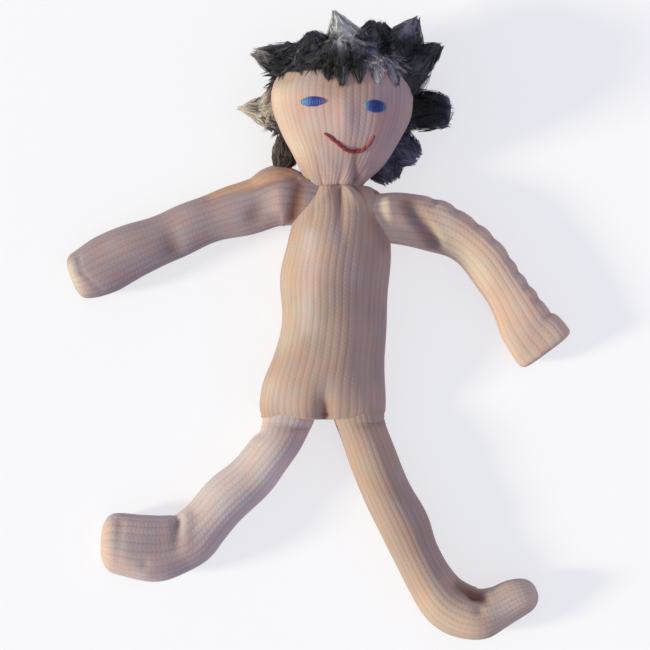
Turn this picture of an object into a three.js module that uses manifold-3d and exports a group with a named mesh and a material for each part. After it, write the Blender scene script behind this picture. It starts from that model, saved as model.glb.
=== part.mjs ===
import * as THREE from 'three';
import { mergeVertices } from 'three/addons/utils/BufferGeometryUtils.js';
import Module from 'manifold-3d';

// A small handmade doll of softly stuffed, flesh-coloured ribbed knit with a fur wig and an
// embroidered face, lying on its back. Millimetres. +X runs towards the doll's left hand, +Y towards
// the crown and +Z up out of the chest. The doll lies on the plane z = 0.

const GAP = 0.3; // clearance between neighbouring pieces
const KNIT_COLOUR = 0xcfae9b;
const FUR_COLOUR = 0x55555c;
const EYE_COLOUR = 0x3f6aa8;
const THREAD_COLOUR = 0x8c2f36;

// The whole doll is moved by this much, so that its outline is centred on the origin.
const CENTRING = new THREE.Vector3(0.2, 1.0, 0);

// A stuffed tube is given by stations from its start to its end. Each station is the middle of a
// ring (x, y, z), its half-width along the floor (w) and its half-height (h).
const station = (x, y, z, w, h) => ({ middle: new THREE.Vector3(x, y, z), w, h });

const CROWN_Y = 98.6;
const NECK_Y = 49.4;
const HEAD = [
  station(8.2, CROWN_Y, 21.0, 23.6, 18.4),
  station(8.3, 88.0, 21.0, 24.4, 18.6),
  station(8.2, 80.0, 21.0, 24.8, 18.7),
  station(8.2, 73.0, 20.8, 23.8, 18.5),
  station(8.3, 66.0, 19.6, 20.8, 17.4),
  station(8.0, 59.5, 17.2, 17.0, 14.2),
  station(7.2, 54.0, 14.4, 13.4, 10.2),
  station(6.0, NECK_Y, 12.2, 9.4, 6.6),
];
const NOSE = { x: 8.9, y: 70.5, height: 1.5, halfWidth: 2.6, halfLength: 6.5 };

// The neck is gathered by a drawn thread: pleats run down from it over the chest and up to the chin.
const GATHERS = { count: 10, chestDepth: 1.1, chestLength: 20, chinDepth: 0.7, chinLength: 11 };
const HEM_Y = -33.0;
const CROTCH_FOLD = { x: 1.8, top: -21.5, depth: 4.2, halfWidth: 3.6 };
const TORSO = [
  station(5.6, NECK_Y - GAP, 12.2, 10.2, 6.6),
  station(7.4, 46.0, 11.6, 14.0, 8.8),
  station(8.3, 39.0, 11.2, 16.4, 11.0),
  station(7.2, 30.0, 11.4, 18.0, 12.6),
  station(5.6, 19.0, 11.9, 18.9, 13.4),
  station(5.3, 4.0, 12.0, 18.2, 13.5),
  station(3.7, -11.0, 11.7, 19.6, 13.2),
  station(2.0, -20.0, 10.6, 21.3, 11.8),
  station(1.4, -27.0, 8.8, 22.1, 9.4),
  station(1.6, HEM_Y, 7.2, 21.8, 7.4),
];

const ARM_RIGHT = [
  station(-6.6, 44.4, 10.2, 9.6, 8.2),
  station(-13.8, 45.2, 9.6, 10.8, 8.6),
  station(-21.0, 42.6, 8.6, 9.4, 8.4),
  station(-31.7, 39.6, 7.4, 8.8, 8.0),
  station(-42.5, 35.7, 7.0, 8.3, 7.6),
  station(-53.1, 31.3, 7.0, 8.6, 7.6),
  station(-63.7, 26.8, 6.9, 9.4, 7.5),
  station(-74.2, 22.1, 6.5, 10.3, 7.2),
  station(-81.2, 18.6, 6.0, 9.2, 6.7),
  station(-87.2, 16.2, 5.4, 7.8, 6.0),
];
const ARM_LEFT = [
  station(21.6, 37.6, 10.4, 8.7, 8.2),
  station(29.6, 37.4, 9.4, 9.2, 8.4),
  station(40.3, 35.2, 8.0, 9.2, 8.0),
  station(50.2, 30.4, 7.2, 8.1, 7.6),
  station(58.4, 23.1, 7.0, 8.0, 7.4),
  station(64.6, 14.2, 6.8, 7.8, 7.2),
  station(69.2, 6.4, 6.6, 8.6, 7.0),
  station(73.6, -0.8, 6.2, 9.8, 6.8),
  station(77.1, -4.8, 5.9, 10.9, 6.4),
  station(80.6, -9.4, 5.5, 10.6, 5.8),
];
const SEAM_PUCKERS = { pitch: 6.2, depth: 0.8, from: 16, to: 66 };
// A fold of loose knit crosses the doll's left upper arm slantwise: slant is how far it runs along
// the arm for each millimetre across.
const ARM_FOLD = { at: 11.5, slant: -0.7, depth: 1.7, halfWidth: 1.7 };

const LEG_TOP_Y = HEM_Y - GAP;
const LEG_RIGHT = [
  station(-11.1, LEG_TOP_Y, 7.2, 9.3, 6.9),
  station(-13.0, -39.0, 7.6, 8.4, 8.0),
  station(-18.2, -46.0, 7.6, 8.2, 8.3),
  station(-24.3, -53.3, 7.6, 8.6, 8.4),
  station(-33.1, -61.6, 7.6, 8.8, 8.4),
  station(-40.6, -69.8, 7.6, 9.0, 8.4),
  station(-46.4, -75.4, 7.8, 10.1, 8.5),
  station(-54.0, -77.8, 7.9, 11.1, 8.6),
  station(-63.0, -77.8, 7.9, 11.5, 8.6),
  station(-70.2, -76.8, 7.4, 11.0, 8.2),
  station(-76.8, -76.6, 6.6, 9.4, 7.2),
];
const LEG_LEFT = [
  station(14.2, LEG_TOP_Y, 7.2, 8.9, 6.9),
  station(16.8, -40.2, 7.6, 8.6, 8.0),
  station(20.6, -51.0, 7.6, 8.5, 8.3),
  station(25.2, -60.9, 7.6, 8.7, 8.4),
  station(30.2, -71.2, 7.6, 8.6, 8.3),
  station(34.5, -80.8, 7.5, 8.2, 8.0),
  station(39.0, -89.4, 7.4, 8.3, 8.0),
  station(45.4, -97.2, 7.4, 9.5, 8.0),
  station(54.6, -101.2, 7.2, 9.3, 7.8),
  station(62.6, -99.6, 6.8, 7.7, 7.4),
  station(69.8, -95.9, 6.2, 6.6, 6.8),
  station(76.8, -93.4, 5.4, 4.8, 6.0),
];
const ANKLE_FOLDS = {
  leg_right: { at: 58, depth: 1.3, halfLength: 3.4, bendsLeft: false },
  leg_left: { at: 80, depth: 2.2, halfLength: 3.2, bendsLeft: true },
};

// How the ends of each tube close: over what length, and how square. 2 is round, more is blunter.
const HEAD_ENDS = { start: 20.5, startSquareness: 2.05, finish: 1.2, finishSquareness: 3 };
const TORSO_ENDS = { start: 0.8, startSquareness: 3, finish: 1.4, finishSquareness: 4 };
const ARM_RIGHT_ENDS = { start: 1.2, startSquareness: 3, finish: 4.2, finishSquareness: 3.2 };
const ARM_LEFT_ENDS = { start: 1.2, startSquareness: 3, finish: 3.4, finishSquareness: 4.5 };
const LEG_ENDS = { start: 0.9, startSquareness: 3, finish: 5.4, finishSquareness: 2.6 };

// The wig is a pelt with a hairline, high over the forehead and low behind, and tufts. Over the face
// the pelt's surface runs below the skin by its buried depth, so the head cuts it away there.
const PELT = {
  thickness: 3.4,
  buried: -1.6,
  frontLine: 87.5,
  backLine: 60,
  edge: 5,
  locks: 8,
  lockDepth: 0.9,
  lockSlant: 0.25,
};
// A tuft runs from its root to its tip. w is its half-width along the floor, h its half-height, and
// point is how sharply it tapers: 1 is a straight cone and less is blunter.
const tuft = (root, tip, w, h, point) => ({
  line: new THREE.LineCurve3(new THREE.Vector3(...root), new THREE.Vector3(...tip)),
  w,
  h,
  point,
});
const TUFTS = [
  tuft([11, 93, 24], [5.2, 108.4, 23], 11.0, 7, 0.8),
  tuft([19, 93, 23], [19.8, 104.6, 22], 10.2, 7, 0.3),
  tuft([25, 90, 24], [34.3, 106.6, 22], 11.5, 8, 0.75),
  tuft([27, 85, 24], [42.6, 97.2, 22], 9.2, 8, 0.6),
  tuft([26, 75.4, 17], [46.0, 74.6, 14], 7.3, 6.5, 0.08),
  tuft([22, 66, 11], [34.4, 58.6, 9], 8.8, 6.5, 0.3),
  tuft([20, 62, 10], [25.6, 51.0, 9], 9.2, 6.0, 0.3),
  tuft([-1, 93, 25], [-2.5, 100.4, 24], 8.0, 7, 0.35),
  tuft([-3, 88.5, 25], [-22.8, 94.2, 24], 9.2, 8, 0.5),
  tuft([-10, 74.0, 14], [-28.1, 76.1, 12], 9.2, 6.0, 0.75),
  tuft([-9.0, 66, 11], [-14.0, 54.6, 10], 5.8, 5.5, 0.3),
];
const LOCK = { around: 8, rows: 6, crowding: 1.8, flutes: 4, fluteDepth: 0.14 };
// The fringe: where the tips of its locks lie on the forehead, and the half-width of each lock. Its
// roots stand closer to the middle than the tips, by the share given as spread.
const FRINGE_SHAPE = { rootY: 97, spread: 0.72, lift: 0.9, h: 2.6, point: 0.5 };
const FRINGE = [
  { x: -14.0, y: 86.4, w: 4.2 },
  { x: -7.5, y: 86.8, w: 4.2 },
  { x: 3.0, y: 82.8, w: 3.8 },
  { x: 7.8, y: 80.6, w: 4.4 },
  { x: 13.9, y: 82.0, w: 4.4 },
  { x: 20.7, y: 81.6, w: 4.4 },
  { x: 26.9, y: 81.2, w: 4.2 },
];

const EYES = {
  eye_right: { x: -2.2, y: 76.1, halfLength: 4.0, halfHeight: 1.7, tilt: -0.02 },
  eye_left: { x: 19.3, y: 74.4, halfLength: 3.8, halfHeight: 2.2, tilt: -0.12 },
};
const EYE_RELIEF = 0.9; // how far the middle of an eye stands off the face
const SMILE = [
  [1.9, 65.7],
  [6.4, 62.1],
  [9.7, 59.8],
  [12.8, 59.4],
  [16.2, 60.8],
  [19.2, 64.5],
];
const SMILE_THREAD = { radius: 0.72, stitches: 9, plumpness: 0.25, taper: 0.04 };

const UP = new THREE.Vector3(0, 0, 1);
const ACROSS = new THREE.Vector3(1, 0, 0);
const noRelief = () => 0;
const { clamp, lerp, smoothstep } = THREE.MathUtils;

const wasm = await Module();
wasm.setup();

// A closed mesh as a solid that can be joined and cut
function solidOf(geometry) {
  return new wasm.Manifold(new wasm.Mesh({
    numProp: 3,
    vertProperties: new Float32Array(geometry.getAttribute('position').array),
    triVerts: new Uint32Array(geometry.index.array),
  }));
}

// The geometry of a solid
function geometryOf(solid) {
  const mesh = solid.getMesh();
  const geometry = new THREE.BufferGeometry();
  geometry.setAttribute('position', new THREE.BufferAttribute(new Float32Array(mesh.vertProperties), 3));
  geometry.setIndex(new THREE.BufferAttribute(new Uint32Array(mesh.triVerts), 1));
  geometry.computeVertexNormals();
  return geometry;
}

// A sphere's grid of rings with every vertex moved to place(turn, row): turn is the angle around the
// ring and row runs from 0 at the first pole to 1 at the last. Nothing goes below the plane z = 0.
function reshapedSphere(around, rows, place) {
  const geometry = new THREE.SphereGeometry(1, around, rows);
  const position = geometry.getAttribute('position');
  const uv = geometry.getAttribute('uv');
  for (let i = 0; i < position.count; i += 1) {
    const point = place(2 * Math.PI * uv.getX(i), 1 - uv.getY(i));
    position.setXYZ(i, point.x, point.y, Math.max(point.z, 0));
  }
  geometry.deleteAttribute('uv');
  geometry.deleteAttribute('normal');
  return mergeVertices(geometry, 1e-4);
}

// How far along a tube a row lies and how full its ring is, with capRows rows in each rounded end
function roundedEnds(row, rows, capRows, length, ends) {
  const capShare = capRows / rows;
  const fromEnd = Math.min(row, 1 - row);
  if (fromEnd >= capShare - 1e-9) {
    const middle = (row - capShare) / (1 - 2 * capShare);
    return { along: lerp(ends.start, length - ends.finish, middle), fullness: 1 };
  }
  const isStart = row < 0.5;
  const angle = (fromEnd / capShare) * (Math.PI / 2);
  const power = 2 / (isStart ? ends.startSquareness : ends.finishSquareness);
  const depth = (isStart ? ends.start : ends.finish) * (1 - Math.cos(angle) ** power);
  return { along: isStart ? depth : length - depth, fullness: Math.sin(angle) ** power };
}

// A softly stuffed tube through its stations. relief gives millimetres to add to the ring at a place
// on it, and grow swells the whole tube for cutting clearance. Rings stay level, square to the Y
// axis, for the first levelFor millimetres, and from there turn square to the path.
class StuffedTube {
  constructor({ stations, around, rows, capRows, ends, relief = noRelief, levelFor = 0 }) {
    Object.assign(this, { around, rows, capRows, ends, relief, levelFor });
    this.path = new THREE.CatmullRomCurve3(stations.map((s) => s.middle));
    this.path.arcLengthDivisions = 400;
    const sizes = stations.map((s) => new THREE.Vector3(s.w, s.h, 0));
    this.girth = new THREE.CatmullRomCurve3(sizes, false, 'catmullrom');
    this.length = this.path.getLength();
  }

  ringAt(along) {
    const t = this.path.getUtoTmapping(clamp(along / this.length, 0, 1));
    const tangent = this.path.getTangent(t);
    const squared = this.levelFor > 0 ? smoothstep(along, this.levelFor, 3 * this.levelFor) : 1;
    const side = UP.clone().cross(tangent).setZ(0).normalize();
    side.lerpVectors(ACROSS, side, squared).normalize();
    return { middle: this.path.getPoint(t), size: this.girth.getPoint(t), side, tangent };
  }

  reliefAt(ring, turn, along) {
    const across = -Math.cos(turn) * ring.size.x;
    const spot = ring.middle.clone().addScaledVector(ring.side, across);
    return this.relief({ turn, along, across, x: spot.x, y: spot.y });
  }

  geometry({ grow = 0, around = this.around, rows = this.rows, capRows = this.capRows } = {}) {
    return reshapedSphere(around, rows, (turn, row) => {
      const { along, fullness } = roundedEnds(row, rows, capRows, this.length, this.ends);
      const ring = this.ringAt(along);
      const swell = grow + this.reliefAt(ring, turn, along);
      const stretch = grow * (row < 0.5 ? -1 : 1) * (1 - fullness);
      return ring.middle.clone()
        .addScaledVector(ring.side, -Math.cos(turn) * (ring.size.x + swell) * fullness)
        .addScaledVector(UP, Math.sin(turn) * (ring.size.y + swell) * fullness)
        .addScaledVector(ring.tangent, stretch);
    });
  }
}

const bump = (distance, halfWidth) => Math.exp(-0.5 * (distance / halfWidth) ** 2);

// Head

// The low nose, a ridge down the middle of the face, and the gathers under the chin
function headRelief({ turn, x, y }) {
  const front = Math.max(Math.sin(turn), 0);
  const nose = NOSE.height * bump(x - NOSE.x, NOSE.halfWidth) * bump(y - NOSE.y, NOSE.halfLength);
  const fade = Math.max(1 - (y - NECK_Y) / GATHERS.chinLength, 0);
  return nose * front + GATHERS.chinDepth * fade * Math.cos(turn * GATHERS.count);
}

const headTube = new StuffedTube({
  stations: HEAD,
  around: 32,
  rows: 21,
  capRows: 7,
  ends: HEAD_ENDS,
  relief: headRelief,
  levelFor: Infinity,
});

// The height of the face's surface over a point of the floor
function faceHeight(x, y) {
  let before = 0;
  let after = headTube.length;
  for (let halving = 0; halving < 40; halving += 1) {
    const between = (before + after) / 2;
    if (headTube.ringAt(between).middle.y > y) before = between;
    else after = between;
  }
  const ring = headTube.ringAt(before);
  const closing = Math.max(1 - before / HEAD_ENDS.start, 0);
  const fullness = (1 - closing ** HEAD_ENDS.startSquareness) ** (1 / HEAD_ENDS.startSquareness);
  const offset = clamp((x - ring.middle.x) / (ring.size.x * fullness), -1, 1);
  const turn = Math.acos(-offset);
  const rise = (ring.size.y + headTube.reliefAt(ring, turn, before)) * fullness;
  return ring.middle.z + rise * Math.sin(turn);
}

// Torso

// Pleats that run down from the neck, and the fold that rises between the legs
function torsoRelief({ turn, x, y }) {
  const fade = Math.max(1 - (NECK_Y - y) / GATHERS.chestLength, 0);
  const pleats = GATHERS.chestDepth * fade * Math.cos(turn * GATHERS.count);
  const open = smoothstep(-y, -CROTCH_FOLD.top, -HEM_Y);
  const halfWidth = CROTCH_FOLD.halfWidth * lerp(0.4, 1, open);
  return pleats - CROTCH_FOLD.depth * open * bump(x - CROTCH_FOLD.x, halfWidth);
}

const torsoTube = new StuffedTube({
  stations: TORSO,
  around: 40,
  rows: 20,
  capRows: 3,
  ends: TORSO_ENDS,
  relief: torsoRelief,
  levelFor: Infinity,
});

// Arms

// The sewn outer edge of the doll's left arm draws in at every knot, and a fold crosses the arm
function armLeftRelief({ turn, along, across }) {
  const outerEdge = Math.max(-Math.cos(turn), 0) ** 4;
  const knot = Math.cos((Math.PI * along) / SEAM_PUCKERS.pitch) ** 8;
  const sewn = along > SEAM_PUCKERS.from && along < SEAM_PUCKERS.to;
  const front = smoothstep(Math.sin(turn), 0, 0.5);
  const fold = bump(along - ARM_FOLD.at - ARM_FOLD.slant * across, ARM_FOLD.halfWidth) * front;
  return (sewn ? -SEAM_PUCKERS.depth * outerEdge * knot : 0) - ARM_FOLD.depth * fold;
}

const armRightTube = new StuffedTube({
  stations: ARM_RIGHT,
  around: 14,
  rows: 22,
  capRows: 3,
  ends: ARM_RIGHT_ENDS,
});
const armLeftTube = new StuffedTube({
  stations: ARM_LEFT,
  around: 14,
  rows: 34,
  capRows: 3,
  ends: ARM_LEFT_ENDS,
  relief: armLeftRelief,
});

// Legs

// The crease on the inner side of the bend where a foot folds against its shin
const ankleFold = ({ at, depth, halfLength, bendsLeft }) => ({ turn, along }) => {
  const inner = Math.max(Math.cos(turn) * (bendsLeft ? -1 : 1), 0) ** 2;
  return -depth * inner * bump(along - at, halfLength);
};

const legTube = (stations, fold) => new StuffedTube({
  stations,
  around: 14,
  rows: 27,
  capRows: 3,
  ends: LEG_ENDS,
  relief: ankleFold(fold),
  levelFor: 4,
});

// Hair

function peltCover({ turn, y }) {
  const behind = smoothstep(-Math.sin(turn), 0.05, 0.5);
  const hairline = lerp(PELT.frontLine, PELT.backLine, behind);
  const cover = smoothstep(y, hairline - PELT.edge / 2, hairline + PELT.edge / 2);
  const locks = PELT.lockDepth * Math.cos(PELT.locks * turn + PELT.lockSlant * y);
  return lerp(PELT.buried, PELT.thickness + locks, cover);
}

const peltTube = new StuffedTube({
  stations: HEAD,
  around: 32,
  rows: 18,
  capRows: 6,
  ends: HEAD_ENDS,
  relief: peltCover,
  levelFor: Infinity,
});

// A fluted, tapering lock of fur along a line, with its rows crowded towards the tip
function lockOfFur({ line, w, h, point }) {
  return reshapedSphere(LOCK.around, LOCK.rows, (turn, row) => {
    const along = 1 - (1 - row) ** LOCK.crowding;
    const side = UP.clone().cross(line.getTangent(along)).setZ(0).normalize();
    const flutes = 1 + LOCK.fluteDepth * Math.cos(LOCK.flutes * turn);
    const size = row === 0 ? 0 : Math.max(1 - along, 0) ** point * flutes;
    return line.getPoint(along)
      .addScaledVector(side, -Math.cos(turn) * w * size)
      .addScaledVector(UP, Math.sin(turn) * h * size);
  });
}

// A lock of the fringe lies along the brow from the crown to its tip
function fringeLock({ x, y, w }) {
  const rootX = lerp(HEAD[0].middle.x, x, FRINGE_SHAPE.spread);
  const points = [0, 1, 2, 3].map((bend) => {
    const px = lerp(rootX, x, bend / 3);
    const py = lerp(FRINGE_SHAPE.rootY, y, bend / 3);
    return new THREE.Vector3(px, py, faceHeight(px, py) + FRINGE_SHAPE.lift);
  });
  const { h, point } = FRINGE_SHAPE;
  return lockOfFur({ line: new THREE.CatmullRomCurve3(points), w, h, point });
}

function wig(keptClear) {
  const fur = [...TUFTS.map(lockOfFur), ...FRINGE.map(fringeLock)]
    .reduce((whole, lock) => whole.add(solidOf(lock)), solidOf(peltTube.geometry()));
  return keptClear.reduce((rest, neighbour) => rest.subtract(neighbour), fur);
}

// Face

// An almond of satin stitches that lies on the face
function eye({ x, y, halfLength, halfHeight, tilt }) {
  return reshapedSphere(12, 6, (turn, row) => {
    const reach = Math.sin(Math.PI * row);
    const along = -Math.cos(turn) * reach * halfLength;
    const across = Math.sin(turn) * reach * halfHeight;
    const px = x + along * Math.cos(tilt) + across * Math.sin(tilt);
    const py = y + along * Math.sin(tilt) - across * Math.cos(tilt);
    const off = GAP + EYE_RELIEF * (0.5 + 0.5 * Math.cos(Math.PI * row));
    return new THREE.Vector3(px, py, faceHeight(px, py) + off);
  });
}

// The smile is a line of overlapping stem stitches, thicker in the middle of each stitch, and its
// two ends taper
function smile() {
  const { radius, stitches, plumpness, taper } = SMILE_THREAD;
  const lift = GAP + radius * (1 + plumpness);
  const points = SMILE.map(([x, y]) => new THREE.Vector3(x, y, faceHeight(x, y) + lift));
  const line = new THREE.CatmullRomCurve3(points);
  return reshapedSphere(6, 3 * stitches, (turn, row) => {
    const side = UP.clone().cross(line.getTangentAt(row)).normalize();
    const swell = 1 - plumpness / 2 + plumpness * Math.abs(Math.sin(Math.PI * row * stitches));
    const size = radius * swell * Math.min(row / taper, (1 - row) / taper, 1);
    return line.getPointAt(row)
      .addScaledVector(side, -Math.cos(turn) * size)
      .addScaledVector(UP, Math.sin(turn) * size);
  });
}

// Assembly

const cloth = (colour) => new THREE.MeshStandardMaterial({ color: colour, roughness: 0.95, metalness: 0 });
const thread = (colour) => new THREE.MeshStandardMaterial({ color: colour, roughness: 0.7, metalness: 0 });

const doll = new THREE.Group();
doll.position.copy(CENTRING);

function addPiece(name, geometry, material) {
  const mesh = new THREE.Mesh(geometry, material);
  mesh.name = name;
  doll.add(mesh);
}

// What each piece keeps clear of, as solids grown by the gap. The wig's lining is cut with fewer
// facets, which need a little more room over the skull.
const clearOfTorso = solidOf(torsoTube.geometry({ grow: GAP }));
const clearOfHead = solidOf(headTube.geometry({ grow: GAP }));
const clearOfArmRight = solidOf(armRightTube.geometry({ grow: GAP }));
const liningFacets = { around: 26, rows: 15, capRows: 5, grow: GAP + 0.25 };
const lining = solidOf(headTube.geometry(liningFacets));

const armRight = solidOf(armRightTube.geometry()).subtract(clearOfTorso).subtract(clearOfHead);
const armLeft = solidOf(armLeftTube.geometry()).subtract(clearOfTorso);

addPiece('head', headTube.geometry(), cloth(KNIT_COLOUR));
addPiece('hair', geometryOf(wig([lining, clearOfTorso, clearOfArmRight])), cloth(FUR_COLOUR));
for (const [name, shape] of Object.entries(EYES)) {
  addPiece(name, eye(shape), thread(EYE_COLOUR));
}
addPiece('mouth', smile(), thread(THREAD_COLOUR));
addPiece('torso', torsoTube.geometry(), cloth(KNIT_COLOUR));
addPiece('arm_right', geometryOf(armRight), cloth(KNIT_COLOUR));
addPiece('arm_left', geometryOf(armLeft), cloth(KNIT_COLOUR));
addPiece('leg_right', legTube(LEG_RIGHT, ANKLE_FOLDS.leg_right).geometry(), cloth(KNIT_COLOUR));
addPiece('leg_left', legTube(LEG_LEFT, ANKLE_FOLDS.leg_left).geometry(), cloth(KNIT_COLOUR));

export default doll;
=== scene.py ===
from types import SimpleNamespace

import bpy
import numpy as np
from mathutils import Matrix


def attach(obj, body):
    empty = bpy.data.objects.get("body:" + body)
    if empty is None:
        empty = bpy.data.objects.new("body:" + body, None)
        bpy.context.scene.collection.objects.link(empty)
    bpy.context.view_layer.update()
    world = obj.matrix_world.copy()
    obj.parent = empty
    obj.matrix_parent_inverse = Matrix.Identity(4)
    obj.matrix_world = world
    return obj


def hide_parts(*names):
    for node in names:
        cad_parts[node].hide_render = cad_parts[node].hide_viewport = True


# A small handmade doll of softly stuffed ribbed knit with a fur wig and an embroidered face, lying
# on its back. Shapes are worked out in millimetres, in the frame's axes: +X runs towards the doll's
# left hand, +Y towards the crown and +Z up out of the chest.

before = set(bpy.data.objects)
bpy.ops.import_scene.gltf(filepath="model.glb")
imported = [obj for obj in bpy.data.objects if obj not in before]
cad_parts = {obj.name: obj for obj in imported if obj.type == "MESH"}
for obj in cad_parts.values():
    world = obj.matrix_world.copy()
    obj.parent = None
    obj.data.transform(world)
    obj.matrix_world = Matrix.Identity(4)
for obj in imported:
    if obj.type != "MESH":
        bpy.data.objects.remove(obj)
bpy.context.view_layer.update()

MM = 0.001
UP = np.array([0.0, 0.0, 1.0])
ACROSS = np.array([1.0, 0.0, 0.0])

# The stations below are given about the middle of the sewn figure, which lies this far from the
# frame's origin.
CENTRING = np.array([0.2, 1.0, 0.0])

# A stuffed tube is given by stations from its start to its end. Each station is the middle of a
# ring (x, y, z), its half-width along the floor and its half-height.
NECK_Y = 49.4
HEM_Y = -33.0
HEAD = [
    (8.2, 98.6, 21.0, 23.6, 18.4),
    (8.3, 88.0, 21.0, 24.4, 18.6),
    (8.2, 80.0, 21.0, 24.8, 18.7),
    (8.2, 73.0, 20.8, 23.8, 18.5),
    (8.3, 66.0, 19.6, 20.8, 17.4),
    (8.0, 59.5, 17.2, 17.0, 14.2),
    (7.2, 54.0, 14.4, 13.4, 10.2),
    (6.0, NECK_Y, 12.2, 9.4, 6.6),
    (5.8, NECK_Y - 2.0, 11.8, 8.6, 5.8),
]
TORSO = [
    (5.6, NECK_Y - 0.3, 12.2, 10.2, 6.6),
    (7.4, 46.0, 11.6, 14.0, 8.8),
    (8.3, 39.0, 11.2, 16.4, 11.0),
    (7.2, 30.0, 11.4, 18.0, 12.6),
    (5.6, 19.0, 11.9, 18.9, 13.4),
    (5.3, 4.0, 12.0, 18.2, 13.5),
    (3.7, -11.0, 11.7, 19.6, 13.2),
    (2.0, -20.0, 10.6, 21.3, 11.8),
    (1.4, -27.0, 8.8, 22.1, 9.4),
    (1.6, HEM_Y, 7.2, 21.8, 7.4),
]
# The first station of each limb lies inside the torso, where it is sewn in.
ARM_RIGHT = [
    (1.0, 43.4, 10.6, 8.4, 7.2),
    (-6.6, 44.4, 10.2, 9.6, 8.2),
    (-13.8, 45.2, 9.6, 10.8, 8.6),
    (-21.0, 42.6, 8.6, 9.4, 8.4),
    (-31.7, 39.6, 7.4, 8.8, 8.0),
    (-42.5, 35.7, 7.0, 8.3, 7.6),
    (-53.1, 31.3, 7.0, 8.6, 7.6),
    (-63.7, 26.8, 6.9, 9.4, 7.5),
    (-74.2, 22.1, 6.5, 10.3, 7.2),
    (-81.2, 18.6, 6.0, 9.2, 6.7),
    (-87.2, 16.2, 5.4, 7.8, 6.0),
]
ARM_LEFT = [
    (14.4, 37.6, 10.8, 8.0, 7.4),
    (21.6, 37.6, 10.4, 8.7, 8.2),
    (29.6, 37.4, 9.4, 9.2, 8.4),
    (40.3, 35.2, 8.0, 9.2, 8.0),
    (50.2, 30.4, 7.2, 8.1, 7.6),
    (58.4, 23.1, 7.0, 8.0, 7.4),
    (64.6, 14.2, 6.8, 7.8, 7.2),
    (69.2, 6.4, 6.6, 8.6, 7.0),
    (73.6, -0.8, 6.2, 9.8, 6.8),
    (77.1, -4.8, 5.9, 10.9, 6.4),
    (80.6, -9.4, 5.5, 10.6, 5.8),
]
LEG_RIGHT = [
    (-10.6, HEM_Y + 4.0, 7.2, 8.4, 6.2),
    (-11.1, HEM_Y - 0.3, 7.2, 9.3, 6.9),
    (-13.0, -39.0, 7.6, 8.4, 8.0),
    (-18.2, -46.0, 7.6, 8.2, 8.3),
    (-24.3, -53.3, 7.6, 8.6, 8.4),
    (-33.1, -61.6, 7.6, 8.8, 8.4),
    (-40.6, -69.8, 7.6, 9.0, 8.4),
    (-46.4, -75.4, 7.8, 10.1, 8.5),
    (-54.0, -77.8, 7.9, 11.1, 8.6),
    (-63.0, -77.8, 7.9, 11.5, 8.6),
    (-70.2, -76.8, 7.4, 11.0, 8.2),
    (-76.8, -76.6, 6.6, 9.4, 7.2),
]
LEG_LEFT = [
    (13.2, HEM_Y + 4.0, 7.2, 8.0, 6.2),
    (14.2, HEM_Y - 0.3, 7.2, 8.9, 6.9),
    (16.8, -40.2, 7.6, 8.6, 8.0),
    (20.6, -51.0, 7.6, 8.5, 8.3),
    (25.2, -60.9, 7.6, 8.7, 8.4),
    (30.2, -71.2, 7.6, 8.6, 8.3),
    (34.5, -80.8, 7.5, 8.2, 8.0),
    (39.0, -89.4, 7.4, 8.3, 8.0),
    (45.4, -97.2, 7.4, 9.5, 8.0),
    (54.6, -101.2, 7.2, 9.3, 7.8),
    (62.6, -99.6, 6.8, 7.7, 7.4),
    (69.8, -95.9, 6.2, 6.6, 6.8),
    (76.8, -93.4, 5.4, 4.8, 6.0),
]
# How the ends of each tube close: over what length, and how square. 2 is round, more is blunter.
HEAD_ENDS = (20.5, 2.05, 1.2, 3.0)
TORSO_ENDS = (0.8, 3.0, 1.4, 4.0)
ARM_RIGHT_ENDS = (1.2, 3.0, 4.2, 3.2)
ARM_LEFT_ENDS = (1.2, 3.0, 3.4, 4.5)
LEG_ENDS = (0.9, 3.0, 5.4, 2.6)

# The knit: ribs of one wale each, and the courses of its stitches
RIB_DEPTH = 0.075
COLUMNS_PER_WALE = 6
COURSE = 1.6
ROW_STEP = 0.9
CAP_ROWS = 12

NOSE = SimpleNamespace(x=8.9, y=70.5, height=1.5, half_width=2.6, half_length=6.5)
GATHERS = SimpleNamespace(
    count=10, chest_depth=0.55, chest_length=20.0, chin_depth=0.6, chin_length=13.0
)
CROTCH = SimpleNamespace(x=1.8, top=12.0, depth=3.4, half_width=2.6)
# Where whipped stitches draw in the outer edge of the doll's left arm, counted along it
PUCKERS = SimpleNamespace(
    places=(17.0, 24.0, 31.5, 38.0, 45.5, 51.0, 56.5, 62.5, 70.5), depth=1.1, half_length=1.0
)

# Linear colours of the knit
TAN = (0.60, 0.43, 0.335)
PINK_TAN = (0.66, 0.47, 0.41)
CREAM_SKIN = (0.84, 0.66, 0.53)
YELLOW_CREAM = (0.90, 0.72, 0.52)
PEACH = (0.84, 0.61, 0.47)
PALE_PINK = (0.84, 0.69, 0.62)
MAUVE = (0.50, 0.385, 0.37)
PURPLE = (0.36, 0.27, 0.30)
BROWN = (0.24, 0.12, 0.06)
RED_BROWN = (0.25, 0.10, 0.075)
ORANGE_TAN = (0.78, 0.45, 0.25)
OLIVE_TAN = (0.48, 0.36, 0.24)
BLUSH = (0.68, 0.34, 0.31)

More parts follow.
